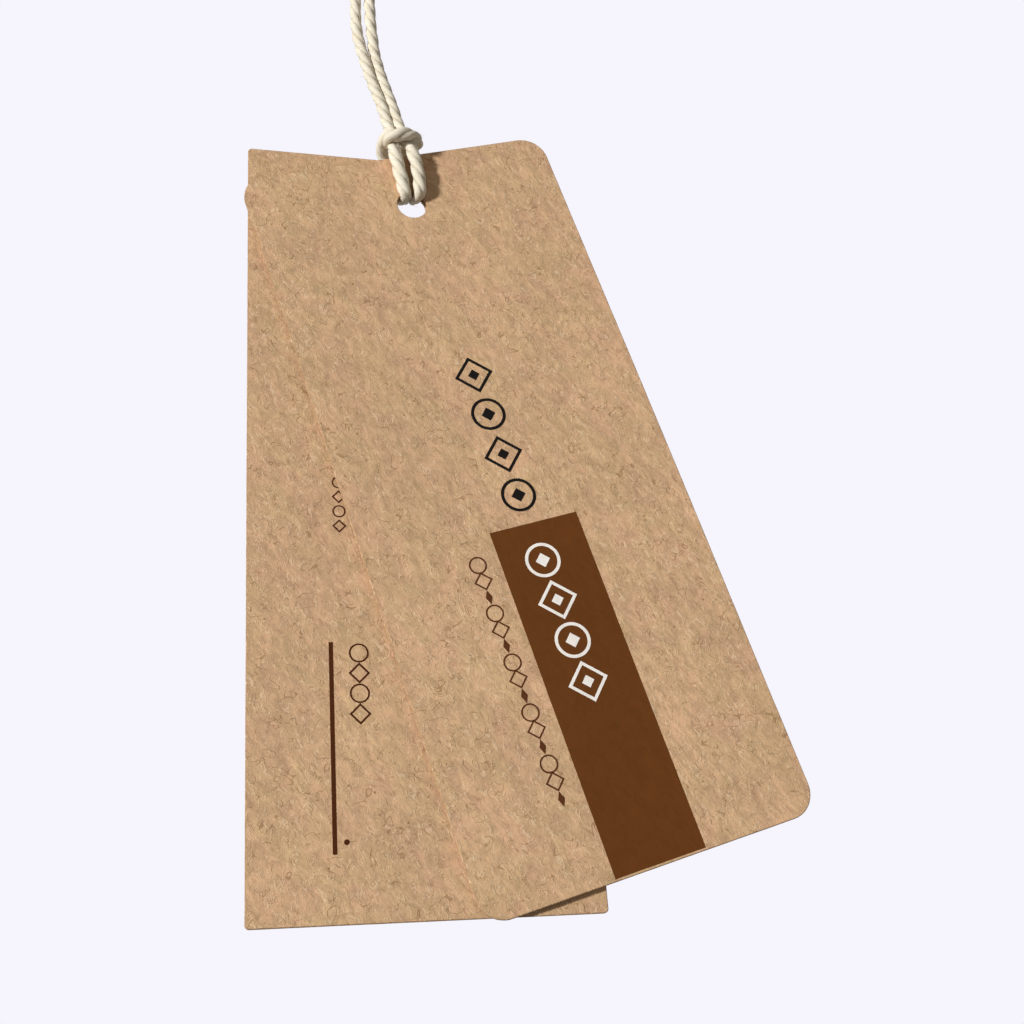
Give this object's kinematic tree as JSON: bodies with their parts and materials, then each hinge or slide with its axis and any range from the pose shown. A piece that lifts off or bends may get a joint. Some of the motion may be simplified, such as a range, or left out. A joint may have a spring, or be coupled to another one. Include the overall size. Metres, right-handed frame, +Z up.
{
  "type": "hang tag",
  "caption": "Hang tag of kraft board cards fanned on a thin cotton cord, tied on with a hitch and knotted at the top.",
  "frame": {"origin": "middle of the knot at the top of the cord, which holds the tag up", "axes": "+Z up along the hanging cord, cards facing -Y, +X to the right of someone looking at the front card"},
  "size_m": [0.0673, 0.0075, 0.1631],
  "materials": {
    "front_board": "matte",
    "rear_board": "matte",
    "cord": "matte"
  },
  "bodies": {
    "knot": {"cord_knot": "cord"},
    "loop": {"cord_strand_left": "cord", "cord_strand_right": "cord"},
    "hitch": {"cord_hitch": "cord"},
    "front": {"front_card": "front_board"},
    "rear": {"rear_card": "rear_board"}
  },
  "joints": [
    {"name": "loop_swing", "type": "hinge", "parent": "knot", "child": "loop", "pos_m": [0, 0, -0.00348], "axis": [0, -1, 0], "range_deg": [-30, 30]},
    {"name": "tag_twist", "type": "hinge", "parent": "loop", "child": "hitch", "pos_m": [0, 0, -0.0443], "axis": [0, 0, 1], "range_deg": [-180, 180]},
    {"name": "front_card_fan", "type": "hinge", "parent": "hitch", "child": "front", "pos_m": [0.0006, 0, -0.058], "axis": [0, -1, 0], "range_deg": [-25.86, 10.14]},
    {"name": "rear_card_fan", "type": "hinge", "parent": "hitch", "child": "rear", "pos_m": [0.0006, 0, -0.058], "axis": [0, -1, 0], "range_deg": [-10.14, 25.86]}
  ]
}
